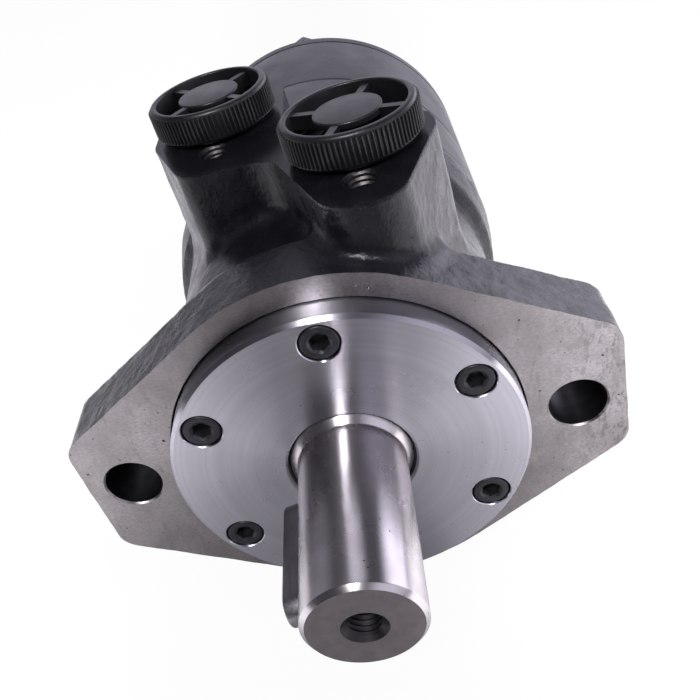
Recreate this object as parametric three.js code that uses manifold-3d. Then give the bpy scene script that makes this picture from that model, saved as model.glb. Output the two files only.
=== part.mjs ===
import * as THREE from 'three';
import { mergeVertices } from 'three/addons/utils/BufferGeometryUtils.js';
import Module from 'manifold-3d';

// Orbital hydraulic motor with a two-bolt flange.
// Millimetres, +Z up. The shaft points along -Y, the ports open upwards.
// Origin: centre of the pilot on the flange mounting face.

const CLEAR = 0.3;

// Mounting flange and pilot
const FLANGE_T = 16.8;
const BOLT_SPACING = 106.4;
const BOLT_HOLE_R = 6.75;
const FLANGE_ARC_R = 47.5;
const FLANGE_HALF_W = 64.3;
const FLANGE_HALF_END = 16.9;
const FLANGE_CORNER_R = 6.5;
const PILOT_R = 41.25;
const PILOT_H = 6;

// The casting and its ports sit turned a little about the shaft from the flange holes
const CAST_TURN = THREE.MathUtils.degToRad(2.8);

// Output shaft
const SHAFT_R = 12.5;
const SHAFT_END_Y = -49;
const SHAFT_CHAMFER = 1;
const JOURNAL_R = 14.2;
const SPOOL_R = 20;
const SPOOL_Y0 = 14;
const SPOOL_Y1 = 81.6;
const SPOOL_BORE_R = 14.2;
const CENTRE_HOLE_R = 3.4;
const CENTRE_HOLE_MOUTH_R = 4.6;
const CENTRE_HOLE_DEPTH = 22;
const KEY_W = 8;
const KEY_H = 7;
const KEY_L = 29.4;
const KEY_END_Y = -43.8;
const KEY_ANGLE = THREE.MathUtils.degToRad(191);
const KEY_SEAT_R = 8.5;

// Housing
const BARREL_R = 43.6;
const REAR_R = 48.2;
const HOUSING_Y1 = 82.3;
const CHAMBER_R = 23.6;
const PORT_GROOVE_R = 24;
const FLARE_Y0 = 64;
const FLARE_STEP_Y = 68;
const FLARE_STEP_R = 46.6;
const FLARE_Y1 = 80;

// Ports: x and y of each one on the port face
const PORTS = [[17.3, 32.5], [-17.3, 66.7]];
const PORT_FACE_Z = 58;
const PORT_THREAD_R = 10.4;
const PORT_DEPTH = 16;
const PORT_CHANNEL_R = 4.2;
const BLOCK_FOOT_Z = 16;
const MANIFOLD_REACH = 17.5;
const MANIFOLD_HOLE_R = 3.5;
const MANIFOLD_DEPTH = 13;

// Front cover and its screws
const COVER_Y1 = 8;
const COVER_BORE_R = 14.8;
const DUST_SEAL_R = 17.4;
const SHAFT_SEAL_R = 19.4;
const SEAL_FIT = 0.6;
const COVER_PCD_R = 35;
const COVER_SCREWS = 6;
const COUNTERBORE_R = 4.6;
const COUNTERBORE_Y = -0.6;
const SCREW_CLEAR_R = 3;
const SCREW_HEAD_R = 4.25;
const SCREW_HEAD_H = 5;
const SCREW_R = 2.5;
const SCREW_L = 19;

// Thrust bearing
const RACE_BORE_R = 15.2;
const RACE_R = 23;
const NEEDLES = 10;
const NEEDLE_R = 1.1;
const CAGE_Y = 10.95;

// Gear set
const LOBES = 6;
const ROLLERS = 7;
const ROLLER_CIRCLE_R = 34;
const ROLLER_R = 6.5;
const ECCENTRICITY = 3;
const RING_R = 48;
const RING_BORE_R = 33.9;
const RING_EDGE = 0.4;
const PLATE_BORE_R = 16.2;
const PLATE_Y0 = 82.6;
const PLATE_Y1 = 110.6;
const RING_Y0 = 110.9;
const RING_Y1 = 147.6;
const CHANNEL_CIRCLE_R = 28.7;
const CHANNEL_R = 2.9;
const CHANNEL_Y = 48.5;
const CHANNEL_WINDOW = [12, 5, 4];
const GEAR_PHASE = Math.PI / 2 + Math.PI / ROLLERS;

// Rear end
const COVER_Y0 = 147.9;
const END_Y = 157.5;
const END_TAPER_Y = 152.2;
const END_TAPER_R = 46.3;
const END_RECESS_R = 21;
const END_RECESS = 1.2;
const END_PCD_R = 39;
const BOLT_BORE_R = 4.6;
const BOLT_R = 4;
const BOLT_TIP_Y = 69;
const BOLT_HEAD_FLATS = 13;
const BOLT_HEAD_H = 5.5;
const PLUG_BORE_R = 5.3;
const PLUG_HEAD_R = 7.5;
const WASHER_R = 8;

// Body seals, drawn as square rings in square grooves
const SEAL_R0 = 44;
const SEAL_R1 = 45.6;
const SEAL_T = 1.4;
const SEAL_GROOVE = 1.8;

// Splines
const SPLINE_TEETH = 10;
const SPLINE_ROOT_R = 10.6;
const SPLINE_TIP_R = 12.4;
const SPLINE_CLEAR = 0.5;
const SPLINE_HALF_L = 7;
const HUB_HALF_L = 9;
const CARDAN_FRONT_Y = 42;
const CARDAN_REAR_Y = 129;

// Port caps, measured upwards from the port face
const CAP_R = 15.9;
const CAP_TEETH = 30;
const CAP_TOOTH = 0.5;
const CAP_Z0 = 1;
const CAP_Z1 = 9.1;
const CAP_RECESS_R = 13.6;
const CAP_FLOOR_Z = 2.4;
const CAP_STEM_R = 9.9;
const CAP_STEM_BORE_R = 8.4;
const CAP_STEM_Z = -8.5;
const CAP_HUB_R = 7.9;
const CAP_POST_R = 4;
const SPOKE_W = 1.8;
const SPOKE_ANGLES = [68, 47].map(THREE.MathUtils.degToRad);

const TAU = Math.PI * 2;

// Facets round a full turn
const FINE = 48;
const MEDIUM = 32;
const COARSE = 20;
const SMALL = 8;

const wasm = await Module();
wasm.setup();

function toSolid(geometry) {
  const bare = geometry.clone();
  bare.deleteAttribute('normal');
  bare.deleteAttribute('uv');
  const merged = mergeVertices(bare, 1e-4);
  const mesh = new wasm.Mesh({
    numProp: 3,
    vertProperties: new Float32Array(merged.attributes.position.array),
    triVerts: new Uint32Array(merged.index.array),
  });
  return new wasm.Manifold(mesh);
}

function toGeometry(solid) {
  const mesh = solid.getMesh();
  const geometry = new THREE.BufferGeometry();
  geometry.setAttribute('position', new THREE.BufferAttribute(mesh.vertProperties, 3));
  geometry.setIndex(new THREE.BufferAttribute(mesh.triVerts, 1));
  const flat = geometry.toNonIndexed();
  flat.computeVertexNormals();
  return flat;
}

function subtract(base, ...tools) {
  return toGeometry(tools.reduce((solid, tool) => solid.subtract(toSolid(tool)), toSolid(base)));
}

function union(...pieces) {
  return toGeometry(pieces.slice(1).reduce((solid, piece) => solid.add(toSolid(piece)), toSolid(pieces[0])));
}

// Revolve a closed outline of [radius, y] corners, listed with y rising on the outside.
function revolve(corners, segments = MEDIUM) {
  const points = [...corners, corners[0]].map(([r, y]) => new THREE.Vector2(r, y));
  return new THREE.LatheGeometry(points, segments);
}

function tube(inner, outer, y0, y1, segments = MEDIUM) {
  return revolve([[outer, y0], [outer, y1], [inner, y1], [inner, y0]], segments);
}

function barrel(radius, y0, y1, segments = MEDIUM) {
  return new THREE.LatheGeometry([
    new THREE.Vector2(0, y0),
    new THREE.Vector2(radius, y0),
    new THREE.Vector2(radius, y1),
    new THREE.Vector2(0, y1),
  ], segments);
}

function cutter(radius, y0, y1, x, z, segments = SMALL) {
  return barrel(radius, y0, y1, segments).translate(x, 0, z);
}

function verticalCutter(radius, z0, z1, x, y, segments = SMALL) {
  return barrel(radius, z0, z1, segments).rotateX(Math.PI / 2).translate(x, y, 0);
}

// Extrude a shape drawn in X and Z along Y.
function extrudeY(shape, y0, y1, curveSegments = 12) {
  const options = { depth: y1 - y0, bevelEnabled: false, curveSegments };
  return new THREE.ExtrudeGeometry(shape, options).rotateX(Math.PI / 2).translate(0, y1, 0);
}

function extrudeZ(shape, z0, z1, curveSegments = 12) {
  const options = { depth: z1 - z0, bevelEnabled: false, curveSegments };
  return new THREE.ExtrudeGeometry(shape, options).translate(0, 0, z0);
}

// Closed outline through corners [x, y, fillet radius].
function filleted(corners, steps = 5) {
  const points = [];
  corners.forEach(([x, y, radius], i) => {
    if (radius === 0) {
      points.push(new THREE.Vector2(x, y));
      return;
    }
    const before = corners[(i + corners.length - 1) % corners.length];
    const after = corners[(i + 1) % corners.length];
    const corner = new THREE.Vector2(x, y);
    const a = new THREE.Vector2(before[0] - x, before[1] - y).normalize();
    const b = new THREE.Vector2(after[0] - x, after[1] - y).normalize();
    const half = Math.acos(THREE.MathUtils.clamp(a.dot(b), -1, 1)) / 2;
    const reach = radius / Math.tan(half);
    const start = corner.clone().addScaledVector(a, reach);
    const end = corner.clone().addScaledVector(b, reach);
    const centre = corner.clone().addScaledVector(a.clone().add(b).normalize(), radius / Math.sin(half));
    const from = start.clone().sub(centre).angle();
    let sweep = end.clone().sub(centre).angle() - from;
    sweep -= TAU * Math.round(sweep / TAU);
    for (let k = 0; k <= steps; k += 1) {
      const angle = from + (sweep * k) / steps;
      points.push(new THREE.Vector2(Math.cos(angle), Math.sin(angle)).multiplyScalar(radius).add(centre));
    }
  });
  return new THREE.Shape(points);
}

function polar(radius, angle) {
  return [radius * Math.cos(angle), radius * Math.sin(angle)];
}

function spread(count, phase = 0) {
  return Array.from({ length: count }, (_, i) => phase + (TAU * i) / count);
}

// A ring of holes along Y.
function boltCircle(count, phase, circle, radius, y0, y1, segments = SMALL) {
  return spread(count, phase).map((angle) => cutter(radius, y0, y1, ...polar(circle, angle), segments));
}

// Straight-sided spline outline. The offset widens the profile for the hub.
function splineShape(offset = 0) {
  const points = [];
  const root = SPLINE_ROOT_R + offset;
  const tip = SPLINE_TIP_R + offset;
  const half = TAU / SPLINE_TEETH / 4;
  spread(SPLINE_TEETH).forEach((angle) => {
    const wide = half * 0.86 + offset / SPLINE_TIP_R;
    const narrow = half * 0.66 + offset / SPLINE_TIP_R;
    [[root, -wide], [tip, -narrow], [tip, narrow], [root, wide]].forEach(([r, turn]) => {
      points.push(new THREE.Vector2(...polar(r, angle + turn)));
    });
  });
  return new THREE.Shape(points);
}

function hexShape(acrossFlats) {
  const radius = acrossFlats / Math.sqrt(3);
  return new THREE.Shape(spread(6, Math.PI / 6).map((angle) => new THREE.Vector2(...polar(radius, angle))));
}

function finish(color, metalness, roughness) {
  return new THREE.MeshStandardMaterial({ color, metalness, roughness });
}

const paint = () => finish(0x2c2e36, 0.3, 0.42);
const turnedSteel = () => finish(0xb4b3bd, 0.9, 0.3);
const groundSteel = () => finish(0x9b9aa0, 0.95, 0.22);
const blackOxide = () => finish(0x17171b, 0.7, 0.4);
const rubber = () => finish(0x111113, 0, 0.8);
const plastic = () => finish(0x1a1a1e, 0, 0.5);

function part(name, geometry, material) {
  const mesh = new THREE.Mesh(geometry, material);
  mesh.name = name;
  return mesh;
}

// Housing casting

function flangeShape() {
  const reach = Math.hypot(FLANGE_HALF_W, FLANGE_HALF_END);
  const endAngle = Math.atan2(FLANGE_HALF_END, FLANGE_HALF_W);
  const tangent = Math.acos(FLANGE_ARC_R / reach) + endAngle;
  const arcSteps = 8;
  const corners = [];
  [0, Math.PI].forEach((half) => {
    [-1, 1].forEach((side) => {
      corners.push([...polar(reach, half + side * endAngle), FLANGE_CORNER_R]);
    });
    for (let k = 0; k <= arcSteps; k += 1) {
      const angle = half + tangent + ((Math.PI - 2 * tangent) * k) / arcSteps;
      corners.push([...polar(FLANGE_ARC_R, angle), 0]);
    }
  });
  return filleted(corners, 4);
}

// Port block: a front boss on the right, a rear boss on the left, joined by a web.
function portBlock() {
  const back = HOUSING_Y1 - 0.1;
  const shape = filleted([
    [-25.2, 38.6, 5],
    [-3, 37, 10],
    [9.4, 5.2, 8],
    [24.6, 2.8, 8],
    [35.9, 33.5, 8],
    [34.6, 41.5, 4],
    [6.9, 47.1, 6],
    [-0.1, 54.9, 6],
    [-0.1, back, 5],
    [-34.2, back, 5],
    [-34.2, 60.5, 8],
  ], 3);
  const block = extrudeZ(shape, BLOCK_FOOT_Z, PORT_FACE_Z);
  const rightWallX = 20;
  const rightDraft = 1.4;
  const frontWallY = 10;
  const frontDraft = 2.5;
  const position = block.attributes.position;
  for (let i = 0; i < position.count; i += 1) {
    if (position.getZ(i) < BLOCK_FOOT_Z + 1) {
      const [x, y] = [position.getX(i), position.getY(i)];
      position.setX(i, x > rightWallX ? x + rightDraft : x);
      position.setY(i, y < frontWallY ? y + frontDraft : y);
    }
  }
  return block;
}

function rawCasting() {
  return union(
    extrudeY(flangeShape(), 0, FLANGE_T),
    revolve([
      [0, 8],
      [BARREL_R, 8],
      [BARREL_R, FLARE_Y0],
      [FLARE_STEP_R, FLARE_STEP_Y],
      [REAR_R, FLARE_Y1],
      [REAR_R, HOUSING_Y1],
      [0, HOUSING_Y1],
    ], FINE),
    portBlock(),
  );
}

function portCuts() {
  return PORTS.flatMap(([x, y]) => [
    verticalCutter(PORT_THREAD_R, PORT_FACE_Z - PORT_DEPTH, PORT_FACE_Z + 1, x, y, MEDIUM),
    verticalCutter(PORT_CHANNEL_R, BLOCK_FOOT_Z - 1, PORT_FACE_Z, x, y),
    verticalCutter(MANIFOLD_HOLE_R, PORT_FACE_Z - MANIFOLD_DEPTH, PORT_FACE_Z + 1, x, y - MANIFOLD_REACH),
  ]);
}

function housing() {
  const casting = subtract(rawCasting(), ...portCuts()).rotateY(-CAST_TURN);
  const channelEnd = CHANNEL_Y - 3;
  const cuts = [
    barrel(PILOT_R + CLEAR, -1, COVER_Y1 + CLEAR, FINE),
    barrel(CHAMBER_R, 0, SPOOL_Y0),
    barrel(SPOOL_R + CLEAR, SPOOL_Y0 - 4, HOUSING_Y1 + 1),
    ...PORTS.map(([, y]) => barrel(PORT_GROOVE_R, y - 4, y + 4, COARSE)),
    ...[-1, 1].map((side) => cutter(BOLT_HOLE_R, -1, FLANGE_T + 1, (side * BOLT_SPACING) / 2, 0, MEDIUM)),
    ...boltCircle(COVER_SCREWS, Math.PI / 2, COVER_PCD_R, SCREW_CLEAR_R, COVER_Y1, COVER_Y1 + 14),
    ...boltCircle(ROLLERS, Math.PI / 2, END_PCD_R, BOLT_BORE_R, BOLT_TIP_Y - 2, HOUSING_Y1 + 1),
    ...boltCircle(ROLLERS, GEAR_PHASE, CHANNEL_CIRCLE_R, CHANNEL_R, channelEnd, HOUSING_Y1 + 1, 6),
    ...spread(ROLLERS, GEAR_PHASE).map((angle) => (
      new THREE.BoxGeometry(...CHANNEL_WINDOW).translate(25, CHANNEL_Y, 0).rotateY(-angle)
    )),
  ];
  return part('housing', subtract(casting, ...cuts), paint());
}

// Front cover, its screws and seals

function frontCover() {
  const edge = 0.8;
  const disc = revolve([
    [0, -PILOT_H],
    [PILOT_R - edge, -PILOT_H],
    [PILOT_R, -PILOT_H + edge],
    [PILOT_R, COVER_Y1],
    [0, COVER_Y1],
  ], FINE);
  const cuts = [
    barrel(COVER_BORE_R, -PILOT_H - 1, COVER_Y1 + 1),
    barrel(DUST_SEAL_R + SEAL_FIT, -4, -0.5, COARSE),
    barrel(SHAFT_SEAL_R + SEAL_FIT, 0.5, 7, COARSE),
    tube(PILOT_R - 1.8, PILOT_R + 1, 3, 5.4),
    ...boltCircle(COVER_SCREWS, Math.PI / 2, COVER_PCD_R, COUNTERBORE_R, -PILOT_H - 1, COUNTERBORE_Y, 18),
    ...boltCircle(COVER_SCREWS, Math.PI / 2, COVER_PCD_R, SCREW_CLEAR_R, COUNTERBORE_Y - 1, COVER_Y1 + 1),
  ];
  return part('front_cover', subtract(disc, ...cuts), turnedSteel());
}

function coverScrews() {
  const head = barrel(SCREW_HEAD_R, 0, SCREW_HEAD_H, 16);
  const shank = barrel(SCREW_R, SCREW_HEAD_H - 0.5, SCREW_L, SMALL);
  const geometry = subtract(union(head, shank), extrudeY(hexShape(4), -1, 3));
  return spread(COVER_SCREWS, Math.PI / 2).map((angle, i) => {
    const screw = part(`cover_screw_${i + 1}`, geometry.clone(), blackOxide());
    const [x, z] = polar(COVER_PCD_R, angle);
    screw.position.set(x, -PILOT_H + 0.1, z);
    screw.rotation.y = i * 0.7;
    return screw;
  });
}

function seals() {
  return [
    part('dust_seal', tube(JOURNAL_R + CLEAR, DUST_SEAL_R, -3.7, -0.8, COARSE), rubber()),
    part('shaft_seal', revolve([
      [SHAFT_SEAL_R, 0.8],
      [SHAFT_SEAL_R, 6.7],
      [17.6, 6.7],
      [17.6, 2.6],
      [JOURNAL_R + 1.4, 2.6],
      [JOURNAL_R + CLEAR, 4.4],
      [JOURNAL_R + CLEAR, 0.8],
    ], COARSE), rubber()),
    part('cover_o_ring', tube(PILOT_R - 1.3, PILOT_R + 0.1, 3.3, 5.1), rubber()),
  ];
}

function thrustBearing() {
  const needles = spread(NEEDLES).map((angle) => {
    const needle = barrel(NEEDLE_R, RACE_BORE_R + 0.6, RACE_R - 0.6, 6).rotateX(Math.PI / 2);
    return needle.rotateY(angle).translate(0, CAGE_Y, 0);
  });
  const cage = union(tube(RACE_BORE_R + 0.2, RACE_R - 0.2, CAGE_Y - 0.55, CAGE_Y + 0.55), ...needles);
  return [
    part('thrust_race_front', tube(RACE_BORE_R, RACE_R, COVER_Y1 + CLEAR, 9.55), groundSteel()),
    part('thrust_needle_cage', cage, groundSteel()),
    part('thrust_race_rear', tube(RACE_BORE_R, RACE_R, 12.35, SPOOL_Y0 - CLEAR), groundSteel()),
  ];
}

// Output shaft with its rotary valve sleeve

function outputShaft() {
  const blank = revolve([
    [0, SHAFT_END_Y],
    [SHAFT_R - SHAFT_CHAMFER, SHAFT_END_Y],
    [SHAFT_R, SHAFT_END_Y + SHAFT_CHAMFER],
    [SHAFT_R, -6.5],
    [JOURNAL_R, -4.8],
    [JOURNAL_R, SPOOL_Y0],
    [SPOOL_R - 0.5, SPOOL_Y0],
    [SPOOL_R, SPOOL_Y0 + 0.5],
    [SPOOL_R, SPOOL_Y1],
    [15.5, SPOOL_Y1],
    [SPOOL_BORE_R, SPOOL_Y1 - 3],
    [SPOOL_BORE_R, 22],
    [12, 20],
    [0, 20],
  ], MEDIUM);
  const cuts = [
    barrel(CENTRE_HOLE_R, SHAFT_END_Y - 1, SHAFT_END_Y + CENTRE_HOLE_DEPTH, COARSE),
    revolve([
      [0, SHAFT_END_Y - 1],
      [CENTRE_HOLE_MOUTH_R + 1, SHAFT_END_Y - 1],
      [CENTRE_HOLE_MOUTH_R - 2, SHAFT_END_Y + 2],
      [0, SHAFT_END_Y + 2],
    ], COARSE),
    keyShape(CLEAR).rotateY(-KEY_ANGLE),
    ...spread(LOBES * 2).map((angle, i) => {
      const port = PORTS[i % 2][1];
      const y0 = Math.min(port, CHANNEL_Y - 2);
      const y1 = Math.max(port, CHANNEL_Y + 2);
      return new THREE.BoxGeometry(3, y1 - y0, 3.6).translate(SPOOL_R, (y0 + y1) / 2, 0).rotateY(angle);
    }),
  ];
  const hub = subtract(
    barrel(SPOOL_BORE_R + CLEAR, CARDAN_FRONT_Y - HUB_HALF_L, CARDAN_FRONT_Y + HUB_HALF_L, MEDIUM),
    extrudeY(splineShape(SPLINE_CLEAR), CARDAN_FRONT_Y - HUB_HALF_L - 1, CARDAN_FRONT_Y + HUB_HALF_L + 1),
  );
  return part('output_shaft', union(subtract(blank, ...cuts), hub), groundSteel());
}

// Round-ended key along Y, growing outwards along +X from its seat.
function keyShape(gap) {
  const round = KEY_W / 2 + gap;
  const front = KEY_END_Y + KEY_W / 2;
  const back = KEY_END_Y + KEY_L - KEY_W / 2;
  const shape = new THREE.Shape();
  shape.absarc(0, front, round, Math.PI, TAU, false);
  shape.absarc(0, back, round, 0, Math.PI, false);
  return extrudeZ(shape, -gap, KEY_H, 6).rotateY(Math.PI / 2).translate(KEY_SEAT_R, 0, 0);
}

function shaftKey() {
  const key = part('shaft_key', keyShape(0), finish(0x55555c, 0.85, 0.4));
  key.rotation.y = -KEY_ANGLE;
  return key;
}

// Universal-joint shaft between the valve sleeve and the rotor

function cardanShaft() {
  const centre = (CARDAN_FRONT_Y + CARDAN_REAR_Y) / 2;
  const reach = (CARDAN_REAR_Y - CARDAN_FRONT_Y) / 2;
  const head = (y) => extrudeY(splineShape(), y - SPLINE_HALF_L, y + SPLINE_HALF_L);
  const bar = revolve([
    [0, -reach - SPLINE_HALF_L],
    [7, -reach - SPLINE_HALF_L],
    [8.5, -reach],
    [8.2, -reach + 12],
    [7.6, 0],
    [8.2, reach - 12],
    [8.5, reach],
    [7, reach + SPLINE_HALF_L],
    [0, reach + SPLINE_HALF_L],
  ], COARSE);
  const mesh = part('cardan_shaft', union(bar, head(-reach), head(reach)), groundSteel());
  const tilt = Math.atan2(ECCENTRICITY, CARDAN_REAR_Y - CARDAN_FRONT_Y);
  const [x, z] = polar(ECCENTRICITY / 2, GEAR_PHASE);
  mesh.position.set(x, centre, z);
  mesh.quaternion.setFromAxisAngle(new THREE.Vector3(z, 0, -x).normalize(), tilt);
  return mesh;
}

// Gear set

function edgedRing(bore, y0, y1) {
  return revolve([
    [bore, y0],
    [RING_R - RING_EDGE, y0],
    [RING_R, y0 + RING_EDGE],
    [RING_R, y1 - RING_EDGE],
    [RING_R - RING_EDGE, y1],
    [bore, y1],
  ], FINE);
}

function sealGroove(y0, y1) {
  return tube(SEAL_R0 - CLEAR, SEAL_R1 + CLEAR, y0, y1, COARSE);
}

function channelPlate() {
  const cuts = [
    ...boltCircle(ROLLERS, Math.PI / 2, END_PCD_R, BOLT_BORE_R, PLATE_Y0 - 1, PLATE_Y1 + 1),
    ...boltCircle(ROLLERS, GEAR_PHASE, CHANNEL_CIRCLE_R, CHANNEL_R, PLATE_Y0 - 1, PLATE_Y1 + 1, 6),
    sealGroove(PLATE_Y1 - SEAL_GROOVE, PLATE_Y1 + 1),
    sealGroove(PLATE_Y0 - 1, PLATE_Y0 + SEAL_GROOVE),
  ];
  return part('channel_plate', subtract(edgedRing(PLATE_BORE_R, PLATE_Y0, PLATE_Y1), ...cuts), paint());
}

function gearRing() {
  const cuts = [
    ...boltCircle(ROLLERS, GEAR_PHASE, ROLLER_CIRCLE_R, ROLLER_R + CLEAR, RING_Y0 - 1, RING_Y1 + 1, 16),
    ...boltCircle(ROLLERS, Math.PI / 2, END_PCD_R, BOLT_BORE_R, RING_Y0 - 1, RING_Y1 + 1),
  ];
  return part('gear_ring', subtract(edgedRing(RING_BORE_R, RING_Y0, RING_Y1), ...cuts), paint());
}

// Rotor flank: the envelope of the rollers as the rotor walks round the ring.
function rotorShape() {
  const gap = ROLLER_R + 0.2;
  const points = [];
  const samples = LOBES * 16;
  for (let k = 0; k < samples; k += 1) {
    const u = (TAU * k) / samples;
    const x = ROLLER_CIRCLE_R * Math.cos(u) - ECCENTRICITY * Math.cos(ROLLERS * u);
    const y = ROLLER_CIRCLE_R * Math.sin(u) - ECCENTRICITY * Math.sin(ROLLERS * u);
    const dx = -ROLLER_CIRCLE_R * Math.sin(u) + ROLLERS * ECCENTRICITY * Math.sin(ROLLERS * u);
    const dy = ROLLER_CIRCLE_R * Math.cos(u) - ROLLERS * ECCENTRICITY * Math.cos(ROLLERS * u);
    const length = Math.hypot(dx, dy);
    points.push(new THREE.Vector2(x - (gap * dy) / length, y + (gap * dx) / length));
  }
  return new THREE.Shape(points);
}

function rotor() {
  const half = (RING_Y1 - RING_Y0) / 2 - CLEAR;
  const middle = (RING_Y1 + RING_Y0) / 2;
  const body = extrudeY(rotorShape(), -half, half);
  const relief = 13.9;
  const splineMiddle = CARDAN_REAR_Y - middle;
  const cuts = [
    barrel(relief, -half - 1, splineMiddle - HUB_HALF_L, COARSE),
    extrudeY(splineShape(SPLINE_CLEAR), -half, half).rotateY(GEAR_PHASE),
    barrel(relief, splineMiddle + HUB_HALF_L, half + 1, COARSE),
  ];
  const mesh = part('rotor', subtract(body, ...cuts), groundSteel());
  const [x, z] = polar(ECCENTRICITY, GEAR_PHASE);
  mesh.position.set(x, middle, z);
  mesh.rotation.y = -GEAR_PHASE;
  return mesh;
}

function rollers() {
  const half = (RING_Y1 - RING_Y0) / 2 - CLEAR;
  const middle = (RING_Y1 + RING_Y0) / 2;
  return spread(ROLLERS, GEAR_PHASE).map((angle, i) => {
    const roller = part(`roller_${i + 1}`, barrel(ROLLER_R, -half, half, COARSE), groundSteel());
    const [x, z] = polar(ROLLER_CIRCLE_R, angle);
    roller.position.set(x, middle, z);
    return roller;
  });
}

function spacer() {
  const mesh = part('spacer', barrel(12.6, 139.4, RING_Y1 - CLEAR, COARSE), groundSteel());
  const [x, z] = polar(ECCENTRICITY, GEAR_PHASE);
  mesh.position.set(x, 0, z);
  return mesh;
}

// Rear end

function endCover() {
  const cover = revolve([
    [0, COVER_Y0],
    [RING_R - RING_EDGE, COVER_Y0],
    [RING_R, COVER_Y0 + RING_EDGE],
    [RING_R, END_TAPER_Y],
    [END_TAPER_R, END_Y],
    [END_RECESS_R + 1, END_Y],
    [END_RECESS_R, END_Y - END_RECESS],
    [0, END_Y - END_RECESS],
  ], FINE);
  const cuts = [
    ...boltCircle(ROLLERS, Math.PI / 2, END_PCD_R, BOLT_BORE_R, COVER_Y0 - 1, END_Y + 1),
    sealGroove(COVER_Y0 - 1, COVER_Y0 + SEAL_GROOVE),
    barrel(PLUG_BORE_R, COVER_Y0 - 1, END_Y + 1, 16),
  ];
  return part('end_cover', subtract(cover, ...cuts), paint());
}

function endBolts() {
  const seat = END_Y + CLEAR;
  const head = extrudeY(hexShape(BOLT_HEAD_FLATS), seat, seat + BOLT_HEAD_H);
  const geometry = union(head, barrel(BOLT_R, BOLT_TIP_Y, seat + 1, SMALL));
  return spread(ROLLERS, Math.PI / 2).map((angle, i) => {
    const bolt = part(`end_bolt_${i + 1}`, geometry.clone(), blackOxide());
    const [x, z] = polar(END_PCD_R, angle);
    bolt.position.set(x, 0, z);
    return bolt;
  });
}

function drainPlug() {
  const head = barrel(PLUG_HEAD_R, END_Y + 0.7, END_Y + 4.4, COARSE);
  const shank = barrel(PLUG_BORE_R - CLEAR, COVER_Y0 + 1.5, END_Y + 1.5, 16);
  const plug = subtract(union(head, shank), extrudeY(hexShape(5), END_Y, END_Y + 6));
  const washer = tube(PLUG_BORE_R, WASHER_R, END_Y - 0.9, END_Y + 0.4, COARSE);
  return [
    part('drain_plug', plug, groundSteel()),
    part('drain_washer', washer, finish(0xb87333, 0.9, 0.35)),
  ];
}

function bodySeals() {
  const rest = 0.1;
  const seal = (name, y0) => part(name, tube(SEAL_R0, SEAL_R1, y0, y0 + SEAL_T, COARSE), rubber());
  return [
    seal('plate_front_o_ring', PLATE_Y0 + rest),
    seal('plate_rear_o_ring', PLATE_Y1 - rest - SEAL_T),
    seal('cover_rear_o_ring', COVER_Y0 + rest),
  ];
}

// Threaded port caps: knurled rim, hollow stem, and a hub on a post between four spokes

function knurledDisc(z0, z1) {
  const pitch = TAU / CAP_TEETH;
  const shape = new THREE.Shape(spread(CAP_TEETH).flatMap((angle) => [
    new THREE.Vector2(...polar(CAP_R, angle)),
    new THREE.Vector2(...polar(CAP_R, angle + pitch * 0.45)),
    new THREE.Vector2(...polar(CAP_R - CAP_TOOTH, angle + pitch * 0.62)),
    new THREE.Vector2(...polar(CAP_R - CAP_TOOTH, angle + pitch * 0.84)),
  ]));
  return extrudeZ(shape, z0, z1);
}

function portCap(name, [x, y], spokeAngle) {
  const disc = (radius, z0, z1) => barrel(radius, z0, z1, COARSE).rotateX(Math.PI / 2);
  const lip = 1;
  const wall = 1.2;
  const rim = union(
    knurledDisc(CAP_Z0 + lip, CAP_Z1 - lip),
    disc(CAP_R - CAP_TOOTH, CAP_Z0, CAP_Z1),
    disc(CAP_STEM_R, CAP_STEM_Z, CAP_Z0 + lip),
  );
  const hollow = subtract(
    rim,
    disc(CAP_RECESS_R, CAP_FLOOR_Z, CAP_Z1 + 1),
    disc(CAP_STEM_BORE_R, CAP_STEM_Z + wall, CAP_FLOOR_Z + 1),
  );
  const hubTop = CAP_Z1 - 0.7;
  const spokes = [spokeAngle, spokeAngle + Math.PI / 2].map((angle) => (
    new THREE.BoxGeometry(CAP_RECESS_R * 2 + 0.6, SPOKE_W, 3.2).translate(0, 0, CAP_Z1 - 2.6).rotateZ(angle)
  ));
  const hub = union(disc(CAP_HUB_R, hubTop - 1.5, hubTop), disc(CAP_POST_R, CAP_STEM_Z + 0.5, hubTop - 1));
  const cap = union(hollow, ...spokes, hub).translate(x, y, PORT_FACE_Z).rotateY(-CAST_TURN);
  return part(name, cap, plastic());
}

const motor = new THREE.Group();
motor.name = 'hydraulic_motor';

const frontEnd = new THREE.Group();
frontEnd.name = 'front_end';
frontEnd.add(housing(), frontCover(), ...coverScrews(), ...seals(), ...thrustBearing());

const output = new THREE.Group();
output.name = 'output';
output.add(outputShaft(), shaftKey());

const gearSet = new THREE.Group();
gearSet.name = 'gear_set';
gearSet.add(channelPlate(), gearRing(), rotor(), ...rollers(), spacer(), cardanShaft());

const rearEnd = new THREE.Group();
rearEnd.name = 'rear_end';
rearEnd.add(endCover(), ...endBolts(), ...drainPlug(), ...bodySeals());

const plugs = new THREE.Group();
plugs.name = 'port_plugs';
PORTS.forEach((place, i) => plugs.add(portCap(`port_cap_${i + 1}`, place, SPOKE_ANGLES[i])));

motor.add(frontEnd, output, gearSet, rearEnd, plugs);
export default motor;
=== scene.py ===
import math

import bmesh
import bpy
import numpy as np
from mathutils import Euler, Matrix, Vector, noise


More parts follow.
